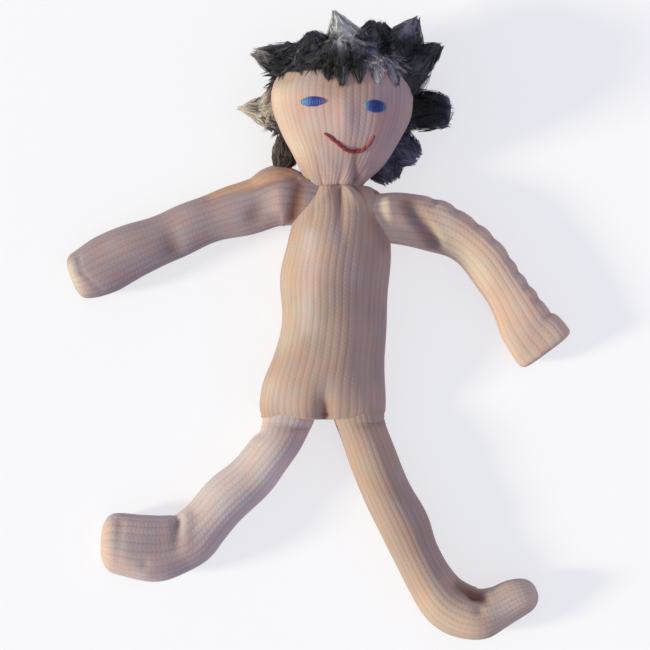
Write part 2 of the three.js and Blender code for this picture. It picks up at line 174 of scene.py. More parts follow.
# Folds of the skin: start and end on the floor plan, half-width and height. A crease has a negative
# height, and every fold is deepest at its start.
HEAD_FOLDS = [
    ((12.6, 51.0), (12.6, 60.5), 0.75, -0.9),
    ((9.6, 51.0), (9.8, 58.0), 0.9, 0.5),
    ((15.6, 52.0), (17.6, 59.0), 1.0, 0.5),
    ((4.6, 50.0), (-1.6, 60.0), 1.0, -0.5),
]
TORSO_FOLDS = [
    ((9.6, 49.0), (17.6, 38.6), 1.25, 1.3),
    ((16.0, 48.0), (21.4, 38.6), 1.05, 1.2),
    ((5.4, 48.6), (-5.0, 38.6), 1.2, 1.0),
    ((12.4, 48.6), (19.6, 35.6), 1.1, -1.5),
    ((19.6, 46.6), (22.4, 37.2), 0.9, -1.1),
    ((7.4, 48.6), (8.0, 30.0), 1.3, -0.9),
    ((-1.0, 48.4), (-8.6, 41.0), 1.1, -0.8),
    ((2.2, -34.0), (2.2, -26.0), 1.4, -1.1),
]
ARM_RIGHT_FOLDS = [
    ((-8.9, 37.0), (-6.8, 49.2), 1.5, -1.6),
    ((-14.2, 41.4), (-12.6, 49.4), 1.8, 0.8),
    ((-22.6, 38.4), (-20.6, 46.0), 2.6, -1.1),
    ((-51.0, 27.0), (-53.4, 37.0), 2.6, -1.1),
    ((-43.2, 38.4), (-42.6, 34.0), 3.6, 0.6),
    ((-8.2, 51.8), (-38.4, 43.8), 0.8, -0.9),
    ((-84.4, 24.0), (-83.0, 18.6), 0.55, -0.6),
    ((-83.0, 18.6), (-76.6, 12.6), 0.55, -0.6),
]
ARM_LEFT_FOLDS = [
    ((24.2, 42.0), (24.9, 31.0), 1.4, 0.9),
    ((40.0, 28.6), (30.4, 42.4), 1.9, -2.1),
    ((43.4, 30.0), (36.0, 41.0), 1.5, 0.7),
    ((79.6, -9.4), (86.4, -4.2), 0.8, -0.5),
]
LEG_RIGHT_FOLDS = [
    ((-46.0, -67.4), (-46.4, -78.0), 1.6, 1.1),
    ((-49.4, -68.4), (-49.6, -77.4), 1.3, -1.2),
    ((-69.4, -69.0), (-70.0, -83.0), 1.0, -0.6),
    ((-60.4, -83.6), (-59.6, -83.8), 1.6, -0.7),
    ((-3.8, -36.4), (-16.0, -34.6), 0.9, -0.9),
]
LEG_LEFT_FOLDS = [
    ((54.4, -93.8), (49.4, -91.0), 1.3, -1.6),
    ((54.4, -93.8), (59.0, -96.4), 1.2, -1.3),
    ((56.0, -99.6), (57.4, -101.0), 1.3, -0.7),
    ((22.4, -34.4), (13.4, -34.6), 0.7, -0.9),
]

# Stains of the skin, and light and shade painted on it: start and end on the floor plan,
# half-width, colour and strength
HEAD_STAINS_AND_PAINTED_LIGHT = [
    # Painted highlight: pale yellow cream down the face's lit left side
    ((-14.0, 78.0), (-8.0, 62.0), 4.5, YELLOW_CREAM, 0.8),
    ((-9.2, 73.5), (-8.4, 70.0), 3.2, BLUSH, 0.38),
    ((23.0, 74.0), (23.0, 67.0), 3.6, BLUSH, 0.5),
    ((6.5, 79.0), (6.5, 68.0), 0.8, BLUSH, 0.45),
    # Painted shadow: olive under the fringe
    ((2.0, 80.6), (17.0, 79.6), 2.0, OLIVE_TAN, 0.55),
    ((-16.0, 84.2), (-12.0, 83.6), 1.8, OLIVE_TAN, 0.6),
    # Painted shade: mauve under the fringe and down the face's shaded right flank
    ((18.0, 77.8), (26.0, 77.0), 1.8, MAUVE, 0.5),
    ((28.0, 80.0), (24.0, 64.0), 2.6, MAUVE, 0.5),
    # Painted shade: red-brown down the crease below the mouth
    ((12.9, 60.0), (12.9, 51.0), 0.8, RED_BROWN, 0.6),
    ((4.0, 55.0), (20.0, 54.0), 2.4, MAUVE, 0.35),
]
TORSO_PAINTED_LIGHT = [
    # Painted light: pale yellow cream and pink down the lit left side
    ((-11.0, 24.0), (-13.0, -4.0), 4.0, YELLOW_CREAM, 0.3),
    ((-3.4, 30.0), (-3.8, 0.0), 2.6, PALE_PINK, 0.55),
    # Painted highlight: yellow cream along the ridge of a fold below the neck
    ((12.0, 48.0), (19.6, 38.0), 1.3, YELLOW_CREAM, 0.5),
    # Painted shade: red-brown where the left arm meets the torso
    ((19.8, 38.0), (22.6, 28.0), 2.0, RED_BROWN, 0.4),
    # Painted shade: purple down the shaded right side and its edge
    ((16.0, 22.0), (17.0, 8.0), 4.0, PURPLE, 0.25),
    ((22.0, 4.0), (22.0, -18.0), 2.4, PURPLE, 0.35),
    # Painted shade: mauve down the middle of the chest, along its crease
    ((3.4, 46.0), (9.0, 20.0), 2.0, MAUVE, 0.4),
    # Painted light: cream on the lit left hip
    ((-16.0, -22.0), (-12.0, -28.0), 4.0, CREAM_SKIN, 0.45),
    # Painted shade: red-brown in the groove between the legs and along the right hem seam
    ((2.2, -33.0), (2.2, -28.0), 1.4, RED_BROWN, 0.4),
    ((14.0, -32.4), (21.0, -32.4), 0.8, RED_BROWN, 0.6),
]
ARM_RIGHT_STAINS_AND_PAINTED_LIGHT = [
    # Painted shade: brown in the crease where the arm is sewn on
    ((-8.8, 37.0), (-7.0, 48.0), 1.9, BROWN, 0.75),
    # Painted light: warm orange along the lit upper edge by the shoulder
    ((-10.0, 53.6), (-38.0, 46.4), 1.5, ORANGE_TAN, 0.8),
    # Painted highlight: pink tan on the ridge of a fold
    ((-15.0, 46.0), (-14.4, 41.0), 2.0, PINK_TAN, 0.7),
    # Painted light: cream over the hand's end, which faces the light
    ((-88.0, 20.0), (-84.0, 12.0), 2.2, CREAM_SKIN, 0.95),
    # Painted shade: purple along the lower side of the forearm
    ((-58.0, 25.0), (-70.0, 20.0), 3.0, PURPLE, 0.25),
    ((-46.0, 38.0), (-34.0, 41.0), 2.6, PINK_TAN, 0.3),
]
ARM_LEFT_PAINTED_LIGHT = [
    # Painted shadow: brown in the deep fold at the arm's root
    ((31.0, 41.4), (39.6, 28.6), 2.4, BROWN, 0.75),
    # Painted highlight: yellow cream on the seam ridge and down the arm's lit side
    ((22.6, 43.0), (24.4, 31.4), 1.2, YELLOW_CREAM, 0.5),
    ((44.0, 33.0), (60.0, 16.0), 2.8, YELLOW_CREAM, 0.7),
]
LEG_RIGHT_PAINTED_LIGHT = [
    # Painted shade: mauve where the leg tucks under the hem
    ((-12.0, -36.0), (-7.0, -42.0), 5.0, MAUVE, 0.6),
    # Painted shade: mauve over the foot and purple along its lower side
    ((-52.0, -76.0), (-64.0, -77.0), 6.5, MAUVE, 0.95),
    ((-58.0, -86.0), (-48.0, -84.0), 2.6, PURPLE, 0.6),
    # Painted light: peach over the toe's end, which faces the light
    ((-76.0, -70.0), (-75.0, -84.0), 2.6, PEACH, 0.9),
    # Painted shade: purple down the leg's lower right side
    ((-24.0, -60.0), (-42.0, -80.0), 3.4, PURPLE, 0.3),
]
LEG_LEFT_STAINS_AND_PAINTED_LIGHT = [
    ((40.0, -98.0), (50.0, -105.0), 5.0, YELLOW_CREAM, 0.55),
    ((64.0, -98.0), (76.0, -92.0), 6.0, CREAM_SKIN, 0.95),
    # Painted shade: brown in the crease inside the ankle
    ((49.0, -91.0), (57.0, -95.0), 1.5, BROWN, 0.7),
    # Painted shade: purple down the leg's shaded right side
    ((30.0, -58.0), (41.0, -84.0), 3.0, PURPLE, 0.3),
]

# Linear colours of the fur, and the patches in which it wears them: middle on the floor plan,
# half-width, half-length and colour
CHARCOAL = (0.075, 0.073, 0.08)
BLACK = (0.022, 0.022, 0.028)
OLIVE_BLACK = (0.045, 0.043, 0.032)
DARK_GREY = (0.14, 0.137, 0.145)
GREY = (0.24, 0.235, 0.25)
LILAC_GREY = (0.30, 0.28, 0.36)
PALE_GREY = (0.56, 0.53, 0.54)
GREEN_GREY = (0.25, 0.265, 0.235)
TAUPE = (0.36, 0.32, 0.31)
CREAM = (0.95, 0.95, 0.88)
BEIGE = (0.80, 0.70, 0.58)
SLATE = (0.17, 0.17, 0.235)
BROWN_BLACK = (0.14, 0.105, 0.085)
FUR_PATCHES = [
    (7.6, 102.0, 5.4, 7.6, CREAM),
    (14.2, 99.8, 1.8, 4.0, PALE_GREY),
    (17.6, 99.6, 3.4, 3.6, DARK_GREY),
    (22.6, 96.5, 2.8, 6.4, BLACK),
    (26.8, 98.4, 2.0, 5.4, GREY),
    (31.6, 102.6, 3.6, 4.0, LILAC_GREY),
    (31.2, 94.6, 3.4, 4.0, BLACK),
    (37.4, 93.6, 4.6, 4.4, CHARCOAL),
    (36.6, 86.4, 4.2, 4.0, DARK_GREY),
    (22.0, 86.4, 6.8, 5.6, PALE_GREY),
    (17.2, 94.2, 3.2, 2.6, LILAC_GREY),
    (31.4, 84.4, 2.4, 3.4, CHARCOAL),
    (-21.6, 92.4, 3.6, 4.6, TAUPE),
    (-12.6, 90.8, 4.4, 5.0, BLACK),
    (-8.0, 92.6, 2.0, 2.2, GREY),
    (-3.4, 96.6, 4.2, 2.4, DARK_GREY),
    (2.2, 97.0, 3.0, 3.0, OLIVE_BLACK),
    (9.8, 94.2, 4.8, 2.0, GREY),
    (7.0, 88.2, 7.4, 5.0, OLIVE_BLACK),
    (9.4, 84.6, 1.3, 2.6, GREEN_GREY),
    (38.0, 74.8, 8.0, 8.0, BLACK),
    (46.0, 74.0, 1.6, 9.0, SLATE),
    (30.0, 58.0, 12.0, 10.5, SLATE),
    (-22.0, 75.6, 9.0, 7.0, BEIGE),
    (-12.0, 58.0, 7.0, 9.0, BROWN_BLACK),
]

# Linear colours of the embroidery
TEAL = (0.22, 0.42, 0.50)
SKY_BLUE = (0.14, 0.30, 0.60)
DEEP_BLUE = (0.05, 0.09, 0.40)
NAVY = (0.035, 0.06, 0.24)
VIOLET_BLUE = (0.15, 0.18, 0.46)
DARK_RED = (0.34, 0.05, 0.06)

# The wig: a pelt with a hairline, high over the forehead and low behind, and tufts. A tuft runs
# from its root to its tip, and point is how sharply it tapers.
PELT = SimpleNamespace(
    thickness=2.4, buried=-1.6, front_line=87.5, back_line=60.0, edge=5.0, reach=3.6
)


def tuft(root, tip, half_width, half_height, point):
    return SimpleNamespace(
        path=np.array([root, tip], float), half_width=half_width, half_height=half_height, point=point
    )


TUFTS = [
    tuft((11, 93, 24), (5.2, 108.4, 23), 11.0, 7.0, 0.8),
    tuft((19, 93, 23), (19.8, 104.6, 22), 10.2, 7.0, 0.3),
    tuft((25, 90, 24), (34.3, 106.6, 22), 11.5, 8.0, 0.75),
    tuft((27, 85, 24), (42.6, 97.2, 22), 9.2, 8.0, 0.6),
    tuft((26, 75.4, 17), (46.0, 74.6, 14), 7.3, 6.5, 0.08),
    tuft((22, 66, 11), (34.4, 58.6, 9), 8.8, 6.5, 0.3),
    tuft((20, 62, 10), (25.6, 51.0, 9), 9.2, 6.0, 0.3),
    tuft((-1, 93, 25), (-2.5, 100.4, 24), 8.0, 7.0, 0.35),
    tuft((-3, 88.5, 25), (-22.8, 94.2, 24), 9.2, 8.0, 0.5),
    tuft((-10, 74.0, 14), (-28.1, 76.1, 12), 9.2, 6.0, 0.75),
    tuft((-9.0, 66, 11), (-14.0, 54.6, 10), 5.8, 5.5, 0.3),
]
# The fringe: where the tips of its locks lie on the forehead, and their half-widths
FRINGE_ROOT_Y = 97.0
FRINGE_SPREAD = 0.72
FRINGE_LIFT = 0.9
FRINGE = [
    (-14.0, 86.4, 4.2),
    (-7.5, 86.8, 4.2),
    (3.0, 82.8, 3.8),
    (7.8, 80.6, 4.4),
    (13.9, 82.0, 4.4),
    (20.7, 81.6, 4.4),
    (26.9, 81.2, 4.2),
]
HAIRS_PER_WISP = 7
HAIR_RADIUS = 0.125

# The eyes, with the colours of their threads from corner to corner
EYES = {
    "eye_right": SimpleNamespace(
        x=-2.2, y=76.1, half_length=4.0, half_height=1.7, tilt=-0.02,
        threads=(TEAL, SKY_BLUE, DEEP_BLUE, DEEP_BLUE, VIOLET_BLUE),
    ),
    "eye_left": SimpleNamespace(
        x=19.3, y=74.4, half_length=3.8, half_height=2.2, tilt=-0.12,
        threads=(TEAL, DEEP_BLUE, NAVY, DEEP_BLUE, TEAL),
    ),
}
SATIN_STITCHES = 14
SMILE = [(1.9, 65.7), (6.4, 62.1), (9.7, 59.8), (12.8, 59.4), (16.2, 60.8), (19.2, 64.5)]
SMILE_RADIUS = 0.62
SMILE_STITCHES = 9


# Small maths

def unit(vectors):
    return vectors / np.linalg.norm(vectors, axis=-1, keepdims=True)


def smoothstep(x, low, high):
    t = np.clip((x - low) / (high - low), 0, 1)
    return t * t * (3 - 2 * t)


def blend(a, b, t):
    return a + (b - a) * t


def bell(distance, half_width):
    return np.exp(-0.5 * (distance / half_width) ** 2)


def lumps(x, y, wavelength, seed):
    """Soft unevenness between about -1 and 1: the mean of five plane waves of turned directions."""
    waves = [seed * 1.7 + 2.4 * k for k in range(5)]
    total = sum(
        np.sin((x * np.cos(a) + y * np.sin(a)) * 2 * np.pi / (wavelength * (0.8 + 0.1 * k)) + 5 * a)
        for k, a in enumerate(waves)
    )
    return total * 0.4


def curve_through(points, spots, by_chord=True):
    """A Catmull-Rom curve at spots, counted in points from the first. Between two points it is the
    cubic that meets both with the slopes that their neighbours give, weighed by the square roots
    of the chords between the points, or evenly."""
    known = np.vstack([2 * points[0] - points[1], points, 2 * points[-1] - points[-2]])
    start = np.clip(np.floor(spots).astype(int), 0, len(points) - 2)
    part = (spots - start)[..., None]
    a, b, c, d = (known[start + step] for step in range(4))

    def gap(p, q):
        return np.sqrt(np.linalg.norm(q - p, axis=-1, keepdims=True)) if by_chord else 1.0

    ab, bc, cd = gap(a, b), gap(b, c), gap(c, d)
    leaving = bc * ((b - a) / ab - (c - a) / (ab + bc) + (c - b) / bc)
    arriving = bc * ((c - b) / bc - (d - b) / (bc + cd) + (d - c) / cd)
    square = -3 * b + 3 * c - 2 * leaving - arriving
    cube = 2 * b - 2 * c + leaving + arriving
    return b + part * (leaving + part * (square + part * cube))


def stroke(x, y, start, end, half_width):
    """A soft stroke over the floor plan, and how far along it each place lies, from 0 to 1: a bell
    across the segment from start to end, which dies away smoothly past its two ends."""
    start, end = np.array(start), np.array(end)
    length = np.linalg.norm(end - start)
    ahead = (end - start) / length
    along = (x - start[0]) * ahead[0] + (y - start[1]) * ahead[1]
    aside = (y - start[1]) * ahead[0] - (x - start[0]) * ahead[1]
    past = np.maximum(np.maximum(-along, along - length), 0)
    cover = bell(aside, half_width) * bell(past, half_width)
    return cover, np.clip(along / length, 0, 1)


# Meshes

def closed_surface(rings, first_pole, last_pole):
    """Points and faces of a closed surface: rings is (rows, columns, 3), each ring meets itself,
    and a fan of triangles closes each end at its pole."""
    rows, columns = rings.shape[:2]
    points = np.vstack([rings.reshape(-1, 3), first_pole, last_pole])
    row, column = np.meshgrid(np.arange(rows - 1), np.arange(columns), indexing="ij")
    after = (column + 1) % columns
    near, far = row * columns, (row + 1) * columns
    quads = np.stack([near + column, near + after, far + after, far + column], -1).reshape(-1, 4)
    column = np.arange(columns)
    after = (column + 1) % columns
    first = np.full(columns, rows * columns)
    last_ring = (rows - 1) * columns
    fans = np.vstack([
        np.stack([first, after, column], -1),
        np.stack([first + 1, last_ring + column, last_ring + after], -1),
    ])
    return points, quads, fans


def corner_map(rows, columns, u_per_column, v_of_row, v_of_poles):
    """UV of each corner of closed_surface's faces, in the order of its quads and fans: u counts
    columns on round the ring, and v is given for each row and pole."""
    row, column = np.meshgrid(np.arange(rows - 1), np.arange(columns), indexing="ij")
    u = np.stack([column, column + 1, column + 1, column], -1)
    v = np.stack([v_of_row[row], v_of_row[row], v_of_row[row + 1], v_of_row[row + 1]], -1)
    quads = np.stack([u * u_per_column, v], -1).reshape(-1, 4, 2)
    column = np.arange(columns)
    ends = [
        ((0.5, v_of_poles[0]), (1, v_of_row[0]), (0, v_of_row[0])),
        ((0.5, v_of_poles[1]), (0, v_of_row[-1]), (1, v_of_row[-1])),
    ]
    fans = np.vstack([
        np.stack([
            np.stack([(column + step) * u_per_column, np.full(columns, v)], -1) for step, v in end
        ], 1)
        for end in ends
    ])
    return quads, fans


def joined(shells):
    """One set of points and faces from several."""
    points, quads, fans, first = [], [], [], 0
    for shell_points, shell_quads, shell_fans in shells:
        points.append(shell_points)
        quads.append(shell_quads + first)
        fans.append(shell_fans + first)
        first += len(shell_points)
    return np.vstack(points), np.vstack(quads), np.vstack(fans)


def inside_out(points, quads, triangles):
    """Whether a closed surface's faces point inwards, by the sign of its volume."""
    corners = np.vstack([quads[:, :3], quads[:, [0, 2, 3]], triangles])
    a, b, c = (points[corners[:, k]] for k in range(3))
    return np.einsum("ij,ij->", a, np.cross(b, c)) < 0


def make_piece(name, shape, tones, material, uv=None):
    """A named piece in metres from points in millimetres, with a colour for each point and, where
    uv is given, a map for each corner."""
    points, quads, triangles = shape
    points = points + CENTRING
    flip = inside_out(points, quads, triangles)
    if flip:
        quads, triangles = quads[:, ::-1], triangles[:, ::-1]
    corners = np.concatenate([quads.ravel(), triangles.ravel()])
    sizes = np.concatenate([np.full(len(quads), 4), np.full(len(triangles), 3)])
    mesh = bpy.data.meshes.new(name)
    mesh.vertices.add(len(points))
    mesh.vertices.foreach_set("co", (points * MM).ravel())
    mesh.loops.add(len(corners))
    mesh.loops.foreach_set("vertex_index", corners)
    mesh.polygons.add(len(sizes))
    mesh.polygons.foreach_set("loop_start", np.cumsum(sizes) - sizes)
    mesh.polygons.foreach_set("use_smooth", np.ones(len(sizes), bool))
    if uv is not None:
        quad_map, triangle_map = (part[:, ::-1] if flip else part for part in uv)
        flat = np.concatenate([quad_map.ravel(), triangle_map.ravel()])
        mesh.uv_layers.new(name="knit").uv.foreach_set("vector", flat)
    colours = np.hstack([np.clip(tones, 0, 1), np.ones((len(tones), 1))])
    mesh.attributes.new("tone", "FLOAT_COLOR", "POINT").data.foreach_set("color", colours.ravel())
    mesh.update(calc_edges=True)
    mesh.validate()
    mesh.materials.append(material)
    piece = bpy.data.objects.new(name, mesh)
    bpy.context.scene.collection.objects.link(piece)
    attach(piece, "root")
    return piece


# Stuffed tubes

class StuffedTube:
    """A tube through stations. Lengths along it are counted from its station number zero. Its ridge
    lies aside from its middle by a share of its half-width, crest, and a roof over 1 draws its
    upper side towards two slopes that meet in the ridge."""

    def __init__(self, stations, ends, level_for=0.0, zero=0, crest=0.0, roof=1.0):
        stations = np.array(stations, float)
        self.middles, self.girths = stations[:, :3], stations[:, 3:]
        self.start_cap, self.start_square, self.end_cap, self.end_square = ends
        self.level_for, self.crest, self.roof = level_for, crest, roof
        self.spots = np.linspace(0, len(stations) - 1, 2001)
        steps = np.diff(curve_through(self.middles, self.spots), axis=0)
        self.lengths = np.append(0, np.linalg.norm(steps, axis=1).cumsum())
        self.lengths -= np.interp(zero, self.spots, self.lengths)
        self.start, self.end = self.lengths[0], self.lengths[-1]

    def ring(self, along):
        """The middle, half-width, half-height and sideways direction of the rings at along. They
        stand level, square to the Y axis, at the start, and over the first four times level_for
        they turn square to the path."""
        spots = np.interp(along, self.lengths, self.spots)
        middle = curve_through(self.middles, spots)
        girth = curve_through(self.girths, spots, by_chord=False)
        before = curve_through(self.middles, np.maximum(spots - 1e-3, 0))
        after = curve_through(self.middles, np.minimum(spots + 1e-3, self.spots[-1]))
        side = unit(np.cross(UP, after - before) * (1, 1, 0))
        if self.level_for:
            turned = smoothstep(along, 0.0, 4 * self.level_for)[..., None]
            side = unit(blend(ACROSS, side, turned))
        return middle, girth[..., 0], girth[..., 1], side

    def rows(self, step):
        """How far along each row of vertices lies, and how full its ring is. The two ends close
        over their caps as superellipses."""
        angle = np.linspace(0, np.pi / 2, CAP_ROWS + 1)[1:]
        ends = []
        for cap, square in ((self.start_cap, self.start_square), (self.end_cap, self.end_square)):
            power = 2 / square
            ends.append((cap * (1 - np.cos(angle) ** power), np.sin(angle) ** power))
        first, last = self.start + self.start_cap, self.end - self.end_cap
        between = np.linspace(first, last, max(int((last - first) / step), 2) + 1)[1:-1]
        along = np.concatenate([self.start + ends[0][0], between, (self.end - ends[1][0])[::-1]])
        full = np.concatenate([ends[0][1], np.ones(len(between)), ends[1][1][::-1]])
        return along, full

    def aside(self, turn):
        """How far aside a turn round the ring lies, in half-widths."""
        return self.crest * np.maximum(np.sin(turn), 0) ** 2 - np.cos(turn)

    def above(self, turn):
        """How far above the ring's middle a turn round the ring lies, in half-heights."""
        rise = np.sin(turn)
        return np.where(rise > 0, np.abs(rise) ** self.roof, rise)

    def places(self, along, turn):
        """What a relief needs to know of the places at along and turn."""
        middle, half_width, half_height, side = self.ring(along)
        spot = middle + (self.aside(turn) * half_width)[..., None] * side
        return SimpleNamespace(
            turn=turn,
            along=along,
            x=spot[..., 0],
            y=spot[..., 1],
            front=smoothstep(np.sin(turn), 0.0, 0.35),
            middle=middle,
            half_width=half_width,
            half_height=half_height,
            side=side,
        )

    def skin(self, at, swell, full):
        """Points of the skin: rings swollen by swell, none of them below the floor."""
        wide = (self.aside(at.turn) * (at.half_width + swell) * full)[..., None]
        high = (self.above(at.turn) * (at.half_height + swell) * full)[..., None]
        points = at.middle + wide * at.side + high * UP
        points[..., 2] = np.maximum(points[..., 2], 0)
        return points

    def fullness(self, along):
        """How full the rings near the start are, by the superellipse of its cap."""
        closing = np.clip(1 - (along - self.start) / self.start_cap, 0, 1)
        return (1 - closing ** self.start_square) ** (1 / self.start_square)

    def height_over(self, x, y, relief):
        """The height of the upper side over points of the floor, where the rings stand level. The
        cosine c of the turn at x solves crest (1 - c c) - c = offset."""
        middles = curve_through(self.middles, self.spots)
        along = np.interp(-y, -middles[:, 1], self.lengths)
        middle, half_width, half_height, _ = self.ring(along)
        full = self.fullness(along)
        offset = np.clip((x - middle[..., 0]) / (half_width * full), -0.999, 0.999)
        root = np.sqrt(1 + 4 * self.crest * (self.crest - offset))
        turn = np.arccos(np.clip(2 * (self.crest - offset) / (1 + root), -1, 1))
        at = SimpleNamespace(x=x, y=y, turn=turn, front=smoothstep(np.sin(turn), 0.0, 0.35))
        return middle[..., 2] + (half_height + relief(at)) * full * self.above(turn)


def ribs(turn, wales):
    """Rounded ridges with narrow grooves between them, one for each wale."""
    return RIB_DEPTH * (np.abs(np.sin(wales * turn / 2)) ** 0.6 - 0.7)


def pleats(turn, count):
    """Rounded pleats with sharp valleys, between -1 and 1."""
    return 2 * np.abs(np.cos(count * turn / 2)) ** 0.8 - 1


def folds(at, table):
    """The heights of the folds, each a stroke that is highest at its start."""
    total = np.zeros(at.x.shape)
    for start, end, half_width, height in table:
        cover, along = stroke(at.x, at.y, start, end, half_width)
        total += height * cover * (1 - 0.7 * along ** 1.5)
    return at.front * total


def stained_with_painted_light(at, colour, table, depth, crease_shade_colour):
    """The skin's colours: its own colour with soft strokes of others, stains and painted light and
    shade, and painted shade that deepens the creases.
    """
    tones = np.tile(colour, at.x.shape + (1,))
    for start, end, half_width, stroke_colour, strength in table:
        cover = strength * at.front * stroke(at.x, at.y, start, end, half_width)[0]
        tones = blend(tones, np.array(stroke_colour), cover[..., None])
    # Painted shade: the skin darkens towards the crease shade colour where the folds sink in.
    crease = 0.6 * smoothstep(-depth, 0.15, 1.5)
    return blend(tones, np.array(crease_shade_colour), crease[..., None])


def stuffed_piece(name, tube, wales, form, detail, knit, colour, stains_and_painted_light, crease=RED_BROWN):
    """A skin of ribbed knit over a stuffed tube. form is its smooth unevenness and detail its
    folds, whose depths also darken it towards crease, painted shade in the creases; both give
    millimetres at a place."""
    columns = wales * COLUMNS_PER_WALE
    along, full = tube.rows(ROW_STEP)
    turns = np.arange(columns) * 2 * np.pi / columns
    at = tube.places(*np.broadcast_arrays(along[:, None], turns[None, :]))
    depth = detail(at)
    rings = tube.skin(at, form(at) + depth + ribs(at.turn, wales), full[:, None])
    tones = stained_with_painted_light(at, colour, stains_and_painted_light, depth, crease)
    shape = closed_surface(rings, rings[0].mean(0), rings[-1].mean(0))
    tones = np.vstack([tones.reshape(-1, 3), tones[0].mean(0), tones[-1].mean(0)])
    uv = corner_map(
        len(along), columns, 1 / COLUMNS_PER_WALE, along / COURSE,
        (tube.start / COURSE, tube.end / COURSE),
    )
    piece = make_piece(name + "_skin", shape, tones, knit, uv)
    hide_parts(name)
    return piece


# Shader nodes

class Value:
    """A socket that takes part in arithmetic: each operation adds its Math node."""

    def __init__(self, finish, socket):
        self.finish = finish
        self.socket = socket

    def maths(self, operation, *values):
        return self.finish.node(
            "ShaderNodeMath", {"operation": operation}, dict(enumerate(values))
        )

    def __add__(self, other):
        return self.maths("ADD", self, other)

    def __sub__(self, other):
        return self.maths("SUBTRACT", self, other)

    def __rsub__(self, other):
        return self.maths("SUBTRACT", other, self)

    def __mul__(self, other):
        return self.maths("MULTIPLY", self, other)

    def __pow__(self, other):
        return self.maths("POWER", self, other)

    def __abs__(self):
        return self.maths("ABSOLUTE", self)

    def fraction(self):
        return self.maths("FRACT", self)

    __radd__ = __add__
    __rmul__ = __mul__


class Finish:
    """A material under construction: a Principled shader with plain values on its own sockets."""

    def __init__(self, name, **plain):
        self.material = bpy.data.materials.new(name)
        self.material.use_nodes = True
        self.tree = self.material.node_tree
        self.shader = self.tree.nodes["Principled BSDF"]
        for key, value in plain.items():
            self.shader.inputs[key.replace("_", " ")].default_value = value

    def node(self, kind, settings, values, output=0):
        """A node of a kind with its settings, and values or links in its sockets."""
        node = self.tree.nodes.new(kind)
        for key, value in settings.items():
            setattr(node, key, value)
        for key, value in values.items():
            self.put(node.inputs[key], value)
        return Value(self, node.outputs[output])

    def put(self, socket, value):
        if isinstance(value, Value):
            self.tree.links.new(value.socket, socket)
        elif isinstance(value, tuple) and len(value) == 3 and socket.type == "RGBA":
            socket.default_value = (*value, 1.0)
        else:
            socket.default_value = value

    def feed(self, name, value):
        self.put(self.shader.inputs[name], value)

    def place(self):
        return self.node("ShaderNodeTexCoord", {}, {}, "Object")

    def noise(self, where, scale, detail=2.0, roughness=0.5):
        values = {"Vector": where, "Scale": scale, "Detail": detail, "Roughness": roughness}
        return self.node("ShaderNodeTexNoise", {}, values, "Fac")

    def stretched(self, where, scale):
        return self.node("ShaderNodeMapping", {}, {"Vector": where, "Scale": scale})

    def ramp(self, value, low, high):
        values = {"Value": value, "From Min": low, "From Max": high}
        return self.node("ShaderNodeMapRange", {"interpolation_type": "SMOOTHSTEP"}, values)

    def tint(self, amount, plain, tinted):
        """plain where amount is 0, tinted where it is 1."""
        return self.node(
            "ShaderNodeMix", {"data_type": "RGBA"}, {0: amount, 6: plain, 7: tinted}, 2
        )

    def cast(self, colour, other):
        """One colour seen through another."""
        return self.node(
            "ShaderNodeVectorMath", {"operation": "MULTIPLY"}, {0: colour, 1: other}
        )

    def shade(self, colour, amount):
        """The colour made darker or lighter by an amount."""
        return self.node(
            "ShaderNodeVectorMath", {"operation": "SCALE"}, {0: colour, "Scale": amount}
        )

    def tone(self):
        return self.node("ShaderNodeAttribute", {"attribute_name": "tone"}, {}, "Color")

    def bump(self, height, distance, strength=1.0):
        values = {"Height": height, "Distance": distance, "Strength": strength}
        self.feed("Normal", self.node("ShaderNodeBump", {}, values))


def ribbed_knit():
    """Cotton knit in the skin's tones: V-shaped stitches up each wale, pale crests and grooves
    darkened with painted shade, streaks along the wales and soft blotches, warmer and cooler."""
    finish = Finish(
        "ribbed_knit", Roughness=0.92, Sheen_Weight=0.2, Sheen_Roughness=0.5, Specular_IOR_Level=0.15
    )
    place = finish.place()
    uv = finish.node("ShaderNodeUVMap", {"uv_map": "knit"}, {})
    wale = finish.node("ShaderNodeSeparateXYZ", {}, {0: uv}, "X")
    course = finish.node("ShaderNodeSeparateXYZ", {}, {0: uv}, "Y")
    groove = abs(wale.fraction() - 0.5) * 2
    loop = abs((course + groove * 0.55).fraction() - 0.5) * 2
    blotches = finish.ramp(finish.noise(place, 150.0), 0.3, 0.7)
    clouds = finish.noise(place, 60.0)
    streaks = finish.noise(
        finish.node("ShaderNodeCombineXYZ", {}, {"X": wale * 0.9, "Y": course * 0.09}), 1.0, 3.0
    )
    fuzz = finish.noise(place, 2600.0, 3.0)
    warmth = finish.tint(blotches, (1.05, 0.97, 0.93), (0.96, 1.02, 1.05))
    colour = finish.cast(finish.tone(), warmth)
    colour = finish.shade(colour, 0.72 + streaks * 0.28 + clouds * 0.16 + fuzz * 0.12)
    # Painted shade: darker down the grooves between the ribs
    colour = finish.shade(colour, 1 - (groove ** 6) * 0.16)
    finish.feed("Base Color", colour)
    finish.bump((1 - groove ** 3) * 0.35 + loop * 0.3 + fuzz * 0.4, 0.00012)
    return finish.material


def fur_finish():
    """Fur: each hair's own tone, broken along its length."""
    finish = Finish("mottled_fur", Roughness=0.6, Specular_IOR_Level=0.25, Sheen_Weight=0.15)
    place = finish.place()
    broken = finish.noise(place, 700.0, 3.0)
    finish.feed("Base Color", finish.shade(finish.tone(), 0.75 + broken * 0.5))
    finish.bump(finish.noise(place, 2400.0, 2.0), 0.00008)
    return finish.material


